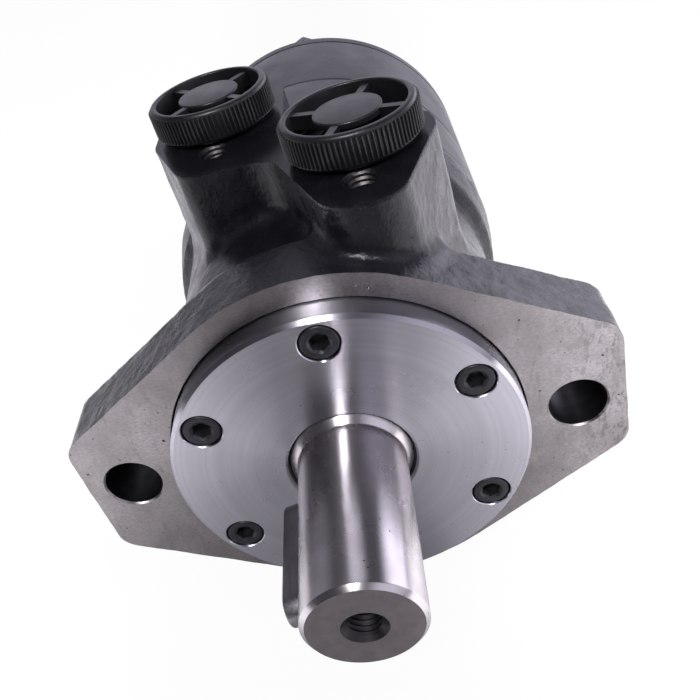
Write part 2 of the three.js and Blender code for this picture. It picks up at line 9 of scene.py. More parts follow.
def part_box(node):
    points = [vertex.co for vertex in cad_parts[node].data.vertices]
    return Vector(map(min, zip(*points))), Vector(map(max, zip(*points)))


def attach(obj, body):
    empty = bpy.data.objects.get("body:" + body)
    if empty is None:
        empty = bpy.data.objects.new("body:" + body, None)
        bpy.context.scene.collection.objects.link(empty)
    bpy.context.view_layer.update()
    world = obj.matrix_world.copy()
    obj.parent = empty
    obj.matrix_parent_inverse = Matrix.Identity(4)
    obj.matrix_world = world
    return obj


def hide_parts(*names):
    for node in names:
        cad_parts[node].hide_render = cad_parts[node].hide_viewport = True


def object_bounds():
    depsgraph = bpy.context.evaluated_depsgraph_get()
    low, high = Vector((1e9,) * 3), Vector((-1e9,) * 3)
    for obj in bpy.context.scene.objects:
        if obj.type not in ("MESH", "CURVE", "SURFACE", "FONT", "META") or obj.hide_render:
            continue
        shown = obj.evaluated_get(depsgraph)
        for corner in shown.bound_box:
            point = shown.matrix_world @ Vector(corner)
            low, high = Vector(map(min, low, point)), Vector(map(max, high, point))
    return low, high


# Orbital hydraulic motor: the looks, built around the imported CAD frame.
# Sizes are in millimetres in the CAD frame, and meshes are scaled to metres.

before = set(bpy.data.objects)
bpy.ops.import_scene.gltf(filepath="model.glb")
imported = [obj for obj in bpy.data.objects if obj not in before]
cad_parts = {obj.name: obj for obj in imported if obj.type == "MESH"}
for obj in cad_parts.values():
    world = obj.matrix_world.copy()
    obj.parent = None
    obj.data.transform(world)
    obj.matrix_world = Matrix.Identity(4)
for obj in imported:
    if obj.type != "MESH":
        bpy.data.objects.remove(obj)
cad_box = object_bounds()

MM = 0.001

# Gap between fitted pieces
CLEAR = 0.3
# How far a cutter sticks out past the face it opens, and how thick a slab cuts a flat face
PAST = 1.0
SLAB_T = 30.0
# Points closer than this count as one
SAME_PLACE = 1e-6

# Front cover and its counterbores
PILOT_R = 41.25
COVER_FRONT_Y = -6.0
COVER_BACK_Y = 8.0
COVER_BORE_R = 14.8
COUNTERBORE_R = 4.6
COUNTERBORE_Y = -0.6
SCREW_CLEAR_R = 3.0

# Housing
FLANGE_T = 16.8
FLANGE_ARC_R = 47.5
FLANGE_HALF_W = 64.3
FLANGE_HALF_END = 16.9
FLANGE_CORNER_R = 6.5
CAST_TURN = math.radians(2.8)
BOLT_SPACING = 106.4
BOLT_HOLE_R = 6.75
BARREL_R = 43.6
REAR_R = 48.2
HOUSING_BACK_Y = 82.3
FLARE_YS = (64.0, 68.0, 80.0)
FLARE_RADII = (BARREL_R, 46.6, REAR_R)
PORT_FACE_Z = 58.0
PORTS = {"port_cap_1": (17.3, 32.5), "port_cap_2": (-17.3, 66.7)}
PORT_R = 10.4
PORT_DEPTH = 16.0
MANIFOLD_REACH = 17.5
MANIFOLD_DEPTH = 13.0
PILOT_RECESS_R = PILOT_R + CLEAR
PILOT_RECESS_Y = COVER_BACK_Y + CLEAR
CHAMBER_R = 23.6
CHAMBER_Y = 14.0
BORE_R = 20.3

# Casting before machining: metal left to cut off, fillets, and where the port block's draft starts
END_STOCK = 8.0
PORT_STOCK = 0.8
FLANGE_FILLET = 4.0
PORT_FILLET = 4.5
DRAFT_LOW_Z = 16.0
CAST_SWELL = 0.11
CELL = 0.8

# M8 threads
THREAD_PITCH = 1.25
M8_MAJOR_R = 4.0
M8_MINOR_R = 3.4

# Shaft and key
SHAFT_R = 12.5
SHAFT_CHAMFER = 1.0
CENTRE_HOLE_DEPTH = 22.0
JOURNAL_R = 14.2
JOURNAL_STEP_YS = (-6.5, -4.8)
SPOOL_R = 20.0
SPOOL_BORE_R = 14.2
SPOOL_MOUTH_R = 15.5
SPOOL_FLOOR_R = 12.0
SPOOL_FLOOR_Y = 20.0
KEY_WIDTH = 8.0
KEY_HEIGHT = 7.0
KEY_SEAT_R = 8.5
KEY_ANGLE = math.radians(191)

# Rear stack
RING_R = 48.0
RING_EDGE = 0.4
PLATE_BORE_R = 16.2
RING_BORE_R = 33.9
END_TAPER_Y = 152.2
END_TAPER_R = 46.3
END_RECESS_R = 21.0
END_RECESS = 1.2
BOLT_HEAD_FLATS = 13.0
BOLT_R = 4.0
PLUG_BORE_R = 5.3
PLUG_R = 5.0
PLUG_HEAD_R = 7.5
WASHER_R = 8.0

# Port caps, as heights over the port face and radii from the port's axis
CAP_R = 15.9
CAP_LOW = 1.0
CAP_TOP = 9.0
CAP_TEETH = 88
CAP_TOOTH_DEPTH = 0.75
SPOKE_ANGLES = {"port_cap_1": math.radians(68), "port_cap_2": math.radians(47)}

# Numbered CAD nodes
COVER_SCREWS = range(1, 7)
END_BOLTS = range(1, 8)
ROLLERS = range(1, 8)

# Camera, in millimetres and degrees
CAMERA_PLACE = (19.0, -137.93, 132.45)
CAMERA_TURN = (51.994, 11.325, -2.995)
CAMERA_LENS = 41.87

# Studio panels: direction, cosine where each starts and is full, strength
STUDIO_PANELS = [
    ((0.0, 1.0, 0.08), 0.78, 0.95, 1.0),
    ((0.76, 0.62, 0.15), 0.88, 0.97, 3.4),
    ((-0.75, 0.65, 0.1), 0.8, 0.95, 0.35),
    ((0.02, 0.65, 0.76), 0.965, 0.99, 1.5),
    ((0.74, -0.66, 0.15), 0.7, 0.92, 1.1),
]
AMBIENT = 0.07
STUDIO_TINT = (0.96, 0.935, 1.1)

# Square lamps: name, place, aim, size, power, whether reflections show them
LAMPS = [
    ("top_lamp", (-90, -510, 730), (0, 20, 30), 120, 8.0, True),
    ("floor_light_left", (-500, -150, 350), (-150, -50, -50), 300, 2.5, False),
    ("floor_light_right", (500, -150, 350), (150, -50, -50), 300, 8.0, False),
]
LAMP_TINT = (0.97, 0.95, 1.0)

# Segments round a turned shape
FINE = 160
MEDIUM = 96
COARSE = 48


# -------- mesh tools

def spread(count, phase=0.0):
    """Angles evenly round a circle."""
    return [phase + math.tau * k / count for k in range(count)]


def piece_from(name, points, faces):
    mesh = bpy.data.meshes.new(name)
    mesh.from_pydata([tuple(c * MM for c in p) for p in points], [], faces)
    piece = bpy.data.objects.new(name, mesh)
    bpy.context.scene.collection.objects.link(piece)
    return piece


def face_outwards(piece):
    work = bmesh.new()
    work.from_mesh(piece.data)
    bmesh.ops.recalc_face_normals(work, faces=work.faces)
    work.to_mesh(piece.data)
    work.free()
    return piece


def rounded(corners, steps=5):
    """Closed outline through corners (x, y, fillet radius)."""
    points = []
    for k, (x, y, radius) in enumerate(corners):
        corner = Vector((x, y))
        if radius == 0:
            points.append(corner)
            continue
        to_last = (Vector(corners[k - 1][:2]) - corner).normalized()
        to_next = (Vector(corners[(k + 1) % len(corners)][:2]) - corner).normalized()
        half = to_last.angle(to_next) / 2
        centre = corner + (to_last + to_next).normalized() * radius / math.sin(half)
        first = corner + to_last * radius / math.tan(half) - centre
        last = corner + to_next * radius / math.tan(half) - centre
        start = math.atan2(first.y, first.x)
        sweep = (math.atan2(last.y, last.x) - start + math.pi) % math.tau - math.pi
        for step in range(steps + 1):
            angle = start + sweep * step / steps
            points.append(centre + radius * Vector((math.cos(angle), math.sin(angle))))
    return points


def lathe(name, corners, segments=FINE):
    """Solid of revolution about Y. Corners are (radius, y, fillet) round a closed outline."""
    fillet_steps = 4
    rings, points = [], []
    for radius, y in rounded(corners, fillet_steps):
        angles = spread(segments) if radius > SAME_PLACE else [0.0]
        rings.append(range(len(points), len(points) + len(angles)))
        points += [(radius * math.cos(a), y, radius * math.sin(a)) for a in angles]
    faces = []
    for one, two in zip(rings, rings[1:] + rings[:1]):
        if len(one) == len(two) == 1:
            continue
        for k in range(segments):
            n = (k + 1) % segments
            loop = [one[k % len(one)], one[n % len(one)], two[n % len(two)], two[k % len(two)]]
            faces.append(tuple(dict.fromkeys(loop)))
    return face_outwards(piece_from(name, points, faces))


def prism(name, outline, low, high, axis="Y"):
    """Outline swept along an axis: drawn in X and Z for Y, and in X and Y for Z."""
    def place(u, v, w):
        return (u, w, v) if axis == "Y" else (u, v, w)
    count = len(outline)
    points = [place(u, v, w) for w in (low, high) for u, v in outline]
    faces = [tuple(range(count)), tuple(range(count, 2 * count))]
    faces += [(k, (k + 1) % count, (k + 1) % count + count, k + count) for k in range(count)]
    return face_outwards(piece_from(name, points, faces))


def round_cutter(name, radius, low, high, segments=COARSE):
    """Plain cylinder about Y."""
    return lathe(name, [(0, low, 0), (radius, low, 0), (radius, high, 0), (0, high, 0)], segments)


def plane_cutter(name, low, high, axis="Y"):
    """Slab wider than the motor, which cuts a flat face square to the axis."""
    far = 90.0
    return prism(name, [(-far, -far), (far, -far), (far, far), (-far, far)], low, high, axis)


def moved(piece, x=0.0, y=0.0, z=0.0, turn=0.0, tip=0.0):
    """Bake a place in millimetres into the mesh: turned about Y, tipped about X, then shifted."""
    matrix = Matrix.Translation((x * MM, y * MM, z * MM)) @ Matrix.Rotation(tip, 4, "X")
    piece.data.transform(matrix @ Matrix.Rotation(turn, 4, "Y"))
    return piece


def settle(piece):
    """Bake the modifiers into the mesh."""
    graph = bpy.context.evaluated_depsgraph_get()
    solid = bpy.data.meshes.new_from_object(piece.evaluated_get(graph))
    piece.modifiers.clear()
    piece.data = solid


def combine(piece, operation, others):
    """Boolean of a piece with others, which are used up."""
    for other in others:
        step = piece.modifiers.new("combine", "BOOLEAN")
        step.operation = operation
        step.solver = "MANIFOLD"
        step.object = other
    settle(piece)
    for other in others:
        bpy.data.objects.remove(other)
    return piece


def carve(piece, *tools):
    return combine(piece, "DIFFERENCE", tools)


def weld(piece, *parts):
    return combine(piece, "UNION", parts)


def soften(piece, degrees=35):
    """Smooth shading, with edges steeper than this left sharp."""
    piece.data.shade_smooth()
    piece.data.set_sharp_from_angle(angle=math.radians(degrees))


def cut_surface(tool, materials, material):
    """The faces this tool cuts take this material out of the carved piece's list."""
    index = materials.index(material)
    tool.data.polygons.foreach_set("material_index", [index] * len(tool.data.polygons))
    return tool


def with_materials(piece, *materials):
    piece.data.materials.clear()
    for material in materials:
        piece.data.materials.append(material)
    return piece


def stands_for(piece, body, node):
    """Give a finished piece its body, and hide the CAD node it replaces."""
    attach(piece, body)
    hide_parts(node)


def centre_of(node):
    """Middle of a CAD node's box, in millimetres."""
    low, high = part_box(node)
    return (low + high) / 2 / MM


def low_of(node):
    """Low corner of a CAD node's box, in millimetres."""
    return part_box(node)[0] / MM


def high_of(node):
    """High corner of a CAD node's box, in millimetres."""
    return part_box(node)[1] / MM


# -------- materials

class Nodes:
    """A node tree in the making. Each step returns the output socket it made."""

    def __init__(self, tree):
        self.tree = tree

    def node(self, kind, **settings):
        made = self.tree.nodes.new(kind)
        for key, value in settings.items():
            setattr(made, key, value)
        return made

    def feed(self, socket, value):
        """Link an output, or set a number, a vector or a colour."""
        if isinstance(value, bpy.types.NodeSocket):
            self.tree.links.new(value, socket)
        elif socket.type == "RGBA":
            socket.default_value = (*value, 1.0)
        else:
            socket.default_value = value

    def compute(self, operation, *values):
        """One step of arithmetic on numbers or outputs."""
        step = self.node("ShaderNodeMath", operation=operation)
        for socket, value in zip(step.inputs, values):
            self.feed(socket, value)
        return step.outputs["Value"]

    def part(self, vector, axis):
        """One coordinate of a vector."""
        step = self.node("ShaderNodeSeparateXYZ")
        self.feed(step.inputs["Vector"], vector)
        return step.outputs[axis]

    def range(self, value, low, high, to_low, to_high, **settings):
        step = self.node("ShaderNodeMapRange", **settings)
        self.feed(step.inputs["Value"], value)
        limits = {"From Min": low, "From Max": high, "To Min": to_low, "To Max": to_high}
        for name, limit in limits.items():
            step.inputs[name].default_value = limit
        return step.outputs["Result"]

    def whitened(self, shader, white, share):
        """The shader, with this share of the white one mixed in where the camera sees it."""
        camera_ray = self.node("ShaderNodeLightPath").outputs["Is Camera Ray"]
        step = self.node("ShaderNodeMixShader")
        self.feed(step.inputs[0], self.compute("MULTIPLY", camera_ray, share))
        self.feed(step.inputs[1], shader)
        self.feed(step.inputs[2], white)
        return step.outputs["Shader"]


class Recipe(Nodes):
    """A material in the making. Its coordinates are the object's own, which are the CAD frame's."""

    def __init__(self, name, metallic, specular=0.5):
        self.material = bpy.data.materials.new(name)
        self.material.use_nodes = True
        super().__init__(self.material.node_tree)
        self.shader = self.tree.nodes["Principled BSDF"]
        self.shader.inputs["Metallic"].default_value = metallic
        self.shader.inputs["Specular IOR Level"].default_value = specular
        self.where = self.node("ShaderNodeTexCoord").outputs["Object"]
        self.even = self.stretched(1, 1, 1)

    def brushed(self, amount):
        """Stretch the highlights across grooves that run round the Y axis."""
        grooves = self.node("ShaderNodeTangent", direction_type="RADIAL", axis="Y")
        self.shader.inputs["Anisotropic"].default_value = amount
        self.shader.inputs["Anisotropic Rotation"].default_value = 0.25
        self.feed(self.shader.inputs["Tangent"], grooves.outputs["Tangent"])

    def stretched(self, x, y, z):
        """Coordinates in millimetres, times a factor along each axis."""
        step = self.node("ShaderNodeMapping")
        self.feed(step.inputs["Vector"], self.where)
        step.inputs["Scale"].default_value = (x / MM, y / MM, z / MM)
        return step.outputs["Vector"]

    def round_the_axis(self, along, radial):
        """Coordinates that vary along Y and outwards from it, and not round it."""
        flat = self.node("ShaderNodeCombineXYZ")
        self.feed(flat.inputs["X"], self.part(self.where, "X"))
        self.feed(flat.inputs["Z"], self.part(self.where, "Z"))
        reach = self.node("ShaderNodeVectorMath", operation="LENGTH")
        self.feed(reach.inputs[0], flat.outputs["Vector"])
        joined = self.node("ShaderNodeCombineXYZ")
        self.feed(joined.inputs["X"], self.compute("MULTIPLY", reach.outputs["Value"], radial / MM))
        self.feed(joined.inputs["Y"], self.compute("MULTIPLY", self.part(self.where, "Y"), along / MM))
        return joined.outputs["Vector"]

    def grain(self, where, scale, detail=3.0, rough=0.55):
        """Cloudy noise from 0 to 1."""
        step = self.node("ShaderNodeTexNoise")
        self.feed(step.inputs["Vector"], where)
        step.inputs["Scale"].default_value = scale
        step.inputs["Detail"].default_value = detail
        step.inputs["Roughness"].default_value = rough
        return step.outputs["Fac"]

    def between(self, grain, start, end):
        """Spread a grain, which mostly lies from 0.3 to 0.7, over the values from start to end."""
        return self.range(grain, 0.3, 0.7, start, end)

    def pits(self, where, scale, share):
        """1 in small round spots, and 0 between them. The spots come in loose patches."""
        patch_scale = 0.31 * scale
        full_share = 0.6 * share
        cells = self.node("ShaderNodeTexVoronoi")
        self.feed(cells.inputs["Vector"], where)
        cells.inputs["Scale"].default_value = scale
        patches = self.range(self.grain(where, patch_scale, 1.0), 0.56, 0.66, 0.0, 1.0)
        spots = self.range(cells.outputs["Distance"], full_share, share, 1.0, 0.0)
        return self.compute("MULTIPLY", patches, spots)

    def blend(self, share, one, two):
        """The first colour, with this share of the second."""
        color_a, color_b, color_result = 6, 7, 2
        step = self.node("ShaderNodeMix", data_type="RGBA")
        self.feed(step.inputs["Factor"], share)
        self.feed(step.inputs[color_a], one)
        self.feed(step.inputs[color_b], two)
        return step.outputs[color_result]

    def bump(self, height, depth, under=None):
        """Relief of the given depth in millimetres, laid over an earlier one."""
        step = self.node("ShaderNodeBump")
        step.inputs["Strength"].default_value = 1.0
        step.inputs["Distance"].default_value = depth * MM
        self.feed(step.inputs["Height"], height)
        if under is not None:
            self.feed(step.inputs["Normal"], under)
        return step.outputs["Normal"]

    def finish(self, color, roughness, normal):
        self.feed(self.shader.inputs["Base Color"], color)
        self.feed(self.shader.inputs["Roughness"], roughness)
        self.feed(self.shader.inputs["Normal"], normal)
        return self.material


def cast_paint():
    """Satin black paint that follows the sand grain of the casting, coarser on the rear flare."""
    mix = Recipe("cast_paint", 0.0, specular=0.22)
    film = mix.grain(mix.even, 0.16, 3)
    flare_y = FLARE_YS[0]
    flare = mix.range(mix.part(mix.where, "Y"), (flare_y - 2) * MM, (flare_y + 3) * MM, 0.0, 1.0)
    sand = mix.compute("MULTIPLY", flare, mix.grain(mix.even, 1.3, 4, 0.7))
    relief = mix.bump(mix.grain(mix.even, 0.45, 3, 0.5), 0.14)
    relief = mix.bump(mix.grain(mix.stretched(1, 1, 0.6), 1.8, 3, 0.6), 0.1, relief)
    relief = mix.bump(sand, 0.3, relief)
    tone = mix.blend(film, (0.002, 0.002, 0.003), (0.006, 0.006, 0.0075))
    return mix.finish(tone, mix.between(film, 0.17, 0.36), relief)


def port_paint():
    """Thin smooth paint on the machined port face, close to black."""
    mix = Recipe("port_paint", 0.0, specular=0.12)
    film = mix.grain(mix.even, 0.2, 3)
    tone = mix.blend(film, (0.0015, 0.0015, 0.002), (0.004, 0.004, 0.005))
    return mix.finish(tone, mix.between(film, 0.2, 0.3), mix.bump(film, 0.03))


def steel_paint():
    """The same paint on turned steel: smoother, with the turning just showing through."""
    mix = Recipe("steel_paint", 0.0, specular=0.4)
    turned = mix.round_the_axis(3.0, 3.0)
    film = mix.grain(mix.even, 0.08, 3)
    relief = mix.bump(mix.grain(mix.even, 0.8, 3), 0.05)
    relief = mix.bump(mix.grain(turned, 1.0, 2), 0.008, relief)
    tone = mix.blend(film, (0.006, 0.006, 0.008), (0.012, 0.012, 0.015))
    return mix.finish(tone, mix.between(film, 0.36, 0.48), relief)


def milled_iron():
    """Bare faced cast iron: rings from the cutter, cloudy stains, smears, dark pores, a grimy end."""
    grime_from, grime_to = 46, 62
    mix = Recipe("milled_iron", 1.0)
    mix.brushed(0.8)
    rings = mix.grain(mix.round_the_axis(0.0, 3.0), 1.0, 4, 0.7)
    cloud = mix.grain(mix.even, 0.06, 4, 0.65)
    flecks = mix.grain(mix.stretched(0.7, 1, 1.3), 1.5, 5, 0.75)
    smears = mix.grain(mix.stretched(1.0, 1.0, 0.22), 0.3, 4, 0.7)
    pores = mix.compute("ADD", mix.pits(mix.even, 0.45, 0.16), mix.pits(mix.even, 1.3, 0.2))
    right_end = mix.range(mix.part(mix.where, "X"), grime_from * MM, grime_to * MM, 0.0, 0.8)
    grime = mix.range(mix.grain(mix.stretched(1.0, 1.0, 0.5), 0.5, 5, 0.75), 0.5, 0.6, 0.0, 1.0)
    handled = mix.compute("MULTIPLY", right_end, grime)
    tone = mix.blend(mix.between(cloud, 0.0, 1.0), (0.2, 0.185, 0.186), (0.38, 0.36, 0.365))
    tone = mix.blend(handled, tone, (0.06, 0.055, 0.058))
    tone = mix.blend(mix.range(flecks, 0.38, 0.6, 0.6, 0.0), tone, (0.15, 0.138, 0.135))
    tone = mix.blend(mix.range(smears, 0.56, 0.7, 0.0, 0.6), tone, (0.15, 0.135, 0.13))
    tone = mix.blend(mix.range(rings, 0.35, 0.6, 0.3, 0.0), tone, (0.2, 0.185, 0.18))
    tone = mix.blend(pores, tone, (0.015, 0.013, 0.014))
    relief = mix.bump(rings, 0.01)
    relief = mix.bump(mix.compute("MULTIPLY", pores, -1.0), 0.1, relief)
    return mix.finish(tone, mix.between(flecks, 0.28, 0.42), relief)


def hole_iron_painted_shade():
    """Inside of a drilled or bored hole: iron toned near black as painted shade, with rings from the
    drill.
    """
    mix = Recipe("hole_iron_painted_shade", 1.0, specular=0.3)
    rings = mix.grain(mix.stretched(0.2, 3.0, 0.2), 1.0, 3)
    stain = mix.grain(mix.even, 0.3, 3)
    # Painted shade: a near-black tone for the shade inside the holes
    tone = mix.blend(stain, (0.012, 0.011, 0.013), (0.045, 0.043, 0.045))
    return mix.finish(tone, mix.between(rings, 0.38, 0.55), mix.bump(rings, 0.03))


def tapped_iron():
    """Thread flanks: cut iron seen down a half-lit hole."""
    mix = Recipe("tapped_iron", 1.0, specular=0.3)
    stain = mix.grain(mix.even, 0.8, 3)
    tone = mix.blend(stain, (0.06, 0.056, 0.058), (0.16, 0.15, 0.152))
    return mix.finish(tone, mix.between(stain, 0.3, 0.5), mix.bump(stain, 0.03))


def turned_steel():
    """Face-turned steel: concentric tool marks that stretch the highlights outwards."""
    mix = Recipe("turned_steel", 1.0)
    mix.brushed(0.9)
    rings = mix.grain(mix.round_the_axis(3.0, 3.0), 1.0, 3, 0.7)
    swirl = mix.grain(mix.round_the_axis(0.0, 0.35), 1.0, 3, 0.7)
    cloud = mix.grain(mix.even, 0.07, 3)
    specks = mix.pits(mix.even, 0.6, 0.1)
    tone = mix.blend(cloud, (0.38, 0.372, 0.408), (0.5, 0.49, 0.53))
    tone = mix.blend(mix.between(rings, 0.28, 0.0), tone, (0.26, 0.253, 0.28))
    tone = mix.blend(mix.range(swirl, 0.4, 0.6, 0.25, 0.0), tone, (0.26, 0.255, 0.275))
    tone = mix.blend(specks, tone, (0.05, 0.05, 0.055))
    return mix.finish(tone, mix.between(cloud, 0.26, 0.32), mix.bump(rings, 0.004))


def ground_steel():
    """Cylindrically ground steel: fine rings along the shaft and a few dark specks."""
    mix = Recipe("ground_steel", 1.0)
    mix.brushed(0.75)
    rings = mix.grain(mix.round_the_axis(5.0, 0.0), 1.0, 4, 0.7)
    stain = mix.grain(mix.even, 0.12, 3)
    specks = mix.pits(mix.even, 0.7, 0.17)
    tone = mix.blend(rings, (0.48, 0.45, 0.46), (0.54, 0.51, 0.525))
    tone = mix.blend(mix.range(stain, 0.45, 0.65, 0.0, 0.35), tone, (0.32, 0.3, 0.3))
    tone = mix.blend(specks, tone, (0.05, 0.045, 0.05))
    return mix.finish(tone, mix.between(stain, 0.26, 0.3), mix.bump(rings, 0.0008))


def faced_steel():
    """End face of the shaft: a darker tone than the shaft's sides, and rougher, with rings left by the
    facing cut.
    """
    mix = Recipe("faced_steel", 1.0)
    rings = mix.grain(mix.round_the_axis(0.0, 3.5), 1.0, 3, 0.6)
    stain = mix.grain(mix.even, 0.35, 4, 0.6)
    tone = mix.blend(stain, (0.16, 0.142, 0.145), (0.3, 0.274, 0.277))
    return mix.finish(tone, mix.between(rings, 0.4, 0.52), mix.bump(rings, 0.012))


def drawn_steel():
    """Drawn key bar: dull, with lines along its length."""
    mix = Recipe("drawn_steel", 1.0)
    lines = mix.grain(mix.stretched(3.0, 0.1, 3.0), 1.0, 3)
    cloud = mix.grain(mix.even, 0.3, 3)
    tone = mix.blend(cloud, (0.2, 0.193, 0.205), (0.34, 0.328, 0.34))
    return mix.finish(tone, mix.between(lines, 0.3, 0.45), mix.bump(lines, 0.012))


def black_oxide():
    """Blackened screws and bolts: a faint mottle."""
    mix = Recipe("black_oxide", 0.6, specular=0.35)
    mottle = mix.grain(mix.even, 0.9, 4, 0.6)
    tone = mix.blend(mottle, (0.008, 0.008, 0.01), (0.035, 0.035, 0.04))
    return mix.finish(tone, mix.between(mottle, 0.3, 0.48), mix.bump(mottle, 0.03))


def moulded_plastic():
    """Black plastic of the port caps, with a fine leather grain."""
    mix = Recipe("moulded_plastic", 0.0, specular=0.38)
    leather = mix.grain(mix.even, 2.2, 3)
    film = mix.grain(mix.even, 0.25, 3)
    tone = mix.blend(film, (0.002, 0.002, 0.0025), (0.006, 0.006, 0.007))
    return mix.finish(tone, mix.between(film, 0.32, 0.42), mix.bump(leather, 0.02))


def seal_rubber():
    """Matt rubber with a little bloom."""
    mix = Recipe("seal_rubber", 0.0)
    bloom = mix.grain(mix.even, 0.6, 4)
    tone = mix.blend(bloom, (0.008, 0.008, 0.008), (0.022, 0.022, 0.022))
    return mix.finish(tone, mix.between(bloom, 0.55, 0.75), mix.bump(bloom, 0.05))


def soft_copper():
    """Annealed copper with a thin stain."""
    mix = Recipe("soft_copper", 1.0)
    stain = mix.grain(mix.even, 0.5, 4)
    tone = mix.blend(stain, (0.5, 0.24, 0.12), (0.78, 0.42, 0.24))
    return mix.finish(tone, mix.between(stain, 0.28, 0.45), mix.bump(stain, 0.02))


CAST_PAINT = cast_paint()
PORT_PAINT = port_paint()
STEEL_PAINT = steel_paint()
MILLED_IRON = milled_iron()
TURNED_STEEL = turned_steel()
HOLE_IRON_PAINTED_SHADE = hole_iron_painted_shade()
TAPPED_IRON = tapped_iron()
GROUND_STEEL = ground_steel()
FACED_STEEL = faced_steel()
DRAWN_STEEL = drawn_steel()
BLACK_OXIDE = black_oxide()
PLASTIC = moulded_plastic()
RUBBER = seal_rubber()
COPPER = soft_copper()

HOUSING_MATERIALS = [CAST_PAINT, MILLED_IRON, HOLE_IRON_PAINTED_SHADE, PORT_PAINT, TAPPED_IRON]
SHAFT_MATERIALS = [GROUND_STEEL, FACED_STEEL, HOLE_IRON_PAINTED_SHADE]


# -------- casting

def flange_outline():
    """Two arcs joined by tangents to the four rounded corners, drawn in X and Z."""
    reach = math.hypot(FLANGE_HALF_W, FLANGE_HALF_END)
    end_angle = math.atan2(FLANGE_HALF_END, FLANGE_HALF_W)
    tangent = math.acos(FLANGE_ARC_R / reach) + end_angle
    arc_steps = 16
    corners = []
    for half in (0.0, math.pi):
        for side in (-1, 1):
            angle = half + side * end_angle
            corners.append((reach * math.cos(angle), reach * math.sin(angle), FLANGE_CORNER_R))
        for step in range(arc_steps + 1):
            angle = half + tangent + (math.pi - 2 * tangent) * step / arc_steps
            corners.append((FLANGE_ARC_R * math.cos(angle), FLANGE_ARC_R * math.sin(angle), 0))
    return rounded(corners, 6)


def port_outline(rise):
    """Outline of the port block, from its foot in the barrel (0) to the port face (1)."""
    back = HOUSING_BACK_Y + END_STOCK / 2
    left_x, inner_x = -34.2, -0.1
    face = [
        (left_x, 60.5, 8), (-25.2, 38.6, 5), (-3.0, 37.0, 10), (9.4, 5.2, 8), (24.6, 2.8, 8),
        (35.9, 33.5, 8), (34.6, 41.5, 4), (6.9, 47.1, 6), (inner_x, 54.9, 6), (inner_x, back, 0),
        (left_x, back, 0),
    ]
    right_wall_x, right_draft = 20, 1.4
    front_wall_y, front_draft = 10, 2.5
    foot = []
    for x, y, radius in face:
        out = right_draft if x > right_wall_x else 0
        back_off = front_draft if y < front_wall_y else 0
        foot.append((x + out, y + back_off, radius))
    return [low.lerp(high, rise) for low, high in zip(rounded(foot), rounded(face))]


def outline_distance(x, y, outline):
    """Distance to a closed outline, negative inside."""
    distance = np.full(x.shape, np.inf)
    inside = np.zeros(x.shape, bool)
    for one, two in zip(outline, outline[1:] + outline[:1]):
        edge_x, edge_y = two[0] - one[0], two[1] - one[1]
        squared = edge_x ** 2 + edge_y ** 2
        if squared < SAME_PLACE ** 2:
            continue
        along = np.clip(((x - one[0]) * edge_x + (y - one[1]) * edge_y) / squared, 0, 1)
        to_edge = np.hypot(x - one[0] - along * edge_x, y - one[1] - along * edge_y)
        distance = np.minimum(distance, to_edge)
        if edge_y:
            spans = (one[1] > y) != (two[1] > y)
            inside ^= spans & (x < one[0] + edge_x * (y - one[1]) / edge_y)
    return np.where(inside, -distance, distance)


def slab(distance, w, low, high, edge):
    """A flat-ended prism of a planar distance field, with its edges rounded."""
    across = np.abs(w - (low + high) / 2) - (high - low) / 2
    a, b = distance + edge, across + edge
    return np.hypot(np.maximum(a, 0), np.maximum(b, 0)) + np.minimum(np.maximum(a, b), 0) - edge


def merged(one, two, fillet):
    """Union of two distance fields with a fillet between them."""
    share = np.clip(0.5 + 0.5 * (two - one) / fillet, 0, 1)
    return two + (one - two) * share - fillet * share * (1 - share)


def casting_field(xs, ys, zs):
    """Distance field of the rough casting, before machining."""
    x, y, z = np.meshgrid(xs, ys, zs, indexing="ij")
    flange_xz = outline_distance(x[:, 0, :], z[:, 0, :], flange_outline())[:, None, :]
    edge, barrel_edge = 1.2, 1.0
    flange = slab(np.broadcast_to(flange_xz, x.shape), y, -END_STOCK, FLANGE_T, edge)
    radius_at = np.interp(y, FLARE_YS, FLARE_RADII)
    barrel_low, block_low = 4.0, 10.0
    barrel = slab(np.hypot(x, z) - radius_at, y, barrel_low, HOUSING_BACK_Y + END_STOCK, barrel_edge)
    block = np.empty_like(x)
    for k, height in enumerate(zs):
        rise = min(max((height - DRAFT_LOW_Z) / (PORT_FACE_Z - DRAFT_LOW_Z), 0), 1)
        block[:, :, k] = outline_distance(x[:, :, k], y[:, :, k], port_outline(rise))
    block = slab(block, z, block_low, PORT_FACE_Z + PORT_STOCK, edge)
    return merged(merged(barrel, flange, FLANGE_FILLET), block, PORT_FILLET)


